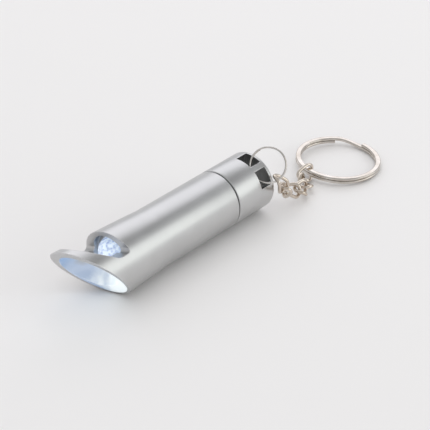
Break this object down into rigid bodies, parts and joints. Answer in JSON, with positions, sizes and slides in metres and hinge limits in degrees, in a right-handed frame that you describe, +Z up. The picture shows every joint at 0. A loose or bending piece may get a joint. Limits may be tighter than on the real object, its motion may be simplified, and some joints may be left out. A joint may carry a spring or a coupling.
{
  "type": "keychain flashlight with bottle opener",
  "caption": "Satin metal keychain torch whose flared slanted mouth is a bottle opener, with an off-centre lamp, a screw tail cap, a small ring, a curb chain and a split ring.",
  "frame": {"origin": "on the surface, under the middle of the box around the object as it lies", "axes": "+X along the torch from its mouth to its tail and key ring, level but for the torch's tilt of 0.78 degrees; +Z up"},
  "size_m": [0.0994, 0.0226, 0.0165],
  "materials": {
    "satin_aluminium_body": "satin, fine turned grain",
    "satin_aluminium_cap": "satin, fine turned grain",
    "clear_lens": "clear moulded epoxy, lit",
    "lead_steel": "tinned",
    "lamp_chip": "phosphor",
    "white_plastic": "moulded",
    "contact_brass": "stamped",
    "clear_sleeve": "thin film",
    "spring_steel": "drawn wire",
    "black_rubber": "moulded",
    "cell_steel": "bright",
    "bright_nickel": "bright nickel plate",
    "chain_nickel": "bright nickel plate",
    "ring_nickel": "bright nickel plate"
  },
  "bodies": {
    "torch": {"head_body": "satin_aluminium_body", "led_lens": "clear_lens", "led_cathode_lead": "lead_steel", "led_anode_lead": "lead_steel", "led_chip": "lamp_chip", "led_holder": "white_plastic", "front_contact": "contact_brass", "battery_sleeve": "clear_sleeve", "button_cell_1": "cell_steel", "button_cell_2": "cell_steel", "button_cell_3": "cell_steel"},
    "tail_slider": {"tail_contact": "contact_brass", "tail_spring": "spring_steel"},
    "tail": {"tail_cap": "satin_aluminium_cap", "seam_o_ring": "black_rubber"},
    "small_ring": {"small_ring": "bright_nickel"},
    "chain_link_1": {"chain_link_1": "chain_nickel"},
    "chain_link_2": {"chain_link_2": "chain_nickel"},
    "chain_link_3": {"chain_link_3": "chain_nickel"},
    "chain_link_4": {"chain_link_4": "chain_nickel"},
    "chain_link_5": {"chain_link_5": "chain_nickel"},
    "chain_link_6": {"chain_link_6": "chain_nickel"},
    "split_ring": {"split_ring": "ring_nickel"}
  },
  "joints": [
    {"name": "tail_travel", "type": "slide", "parent": "torch", "child": "tail_slider", "axis": [0.9999, 0, -0.0136], "range_m": [0, 0.006]},
    {"name": "tail_twist", "type": "hinge", "parent": "tail_slider", "child": "tail", "pos_m": [0.01156, 0.00334, 0.00703], "axis": [0.9999, 0, -0.0136], "range_deg": [0, 2160]},
    {"name": "small_ring_swing", "type": "hinge", "parent": "tail", "child": "small_ring", "pos_m": [0.00822, 0.00068, 0.01113], "axis": [-0.0075, -0.8348, -0.5504], "range_deg": [0, 50]},
    {"name": "chain_link_1_swing", "type": "hinge", "parent": "small_ring", "child": "chain_link_1", "pos_m": [0.01063, -0.00499, 0.01027], "axis": [0.7071, -0.5016, 0.4984], "range_deg": [-40, 25]},
    {"name": "chain_link_2_swing", "type": "hinge", "parent": "chain_link_1", "child": "chain_link_2", "pos_m": [0.01331, -0.00522, 0.00682], "axis": [0.7252, -0.3569, 0.5888], "range_deg": [-35, 20]},
    {"name": "chain_link_3_swing", "type": "hinge", "parent": "chain_link_2", "child": "chain_link_3", "pos_m": [0.01593, -0.00278, 0.00423], "axis": [0.5821, 0.212, 0.785], "range_deg": [-25, 25]},
    {"name": "chain_link_4_swing", "type": "hinge", "parent": "chain_link_3", "child": "chain_link_4", "pos_m": [0.01984, -0.00445, 0.00301], "axis": [0.3671, 0.1979, 0.9089], "range_deg": [-35, 10]},
    {"name": "chain_link_5_swing", "type": "hinge", "parent": "chain_link_4", "child": "chain_link_5", "pos_m": [0.02391, -0.00304, 0.00201], "axis": [0.2349, 0.0071, 0.972], "range_deg": [-35, 25]},
    {"name": "chain_link_6_swing", "type": "hinge", "parent": "chain_link_5", "child": "chain_link_6", "pos_m": [0.02697, 0.00013, 0.0017], "axis": [-0.0396, 0.1345, 0.9901], "range_deg": [-20, 25]},
    {"name": "split_ring_swing", "type": "hinge", "parent": "chain_link_6", "child": "split_ring", "pos_m": [0.0313, 0.00097, 0.00201], "axis": [-0.0516, -0.0988, 0.9938], "range_deg": [-15, 30]}
  ],
  "couplings": [
    {"joint": "tail_twist", "follows": "tail_travel", "rad_per_m": 6283.2}
  ]
}
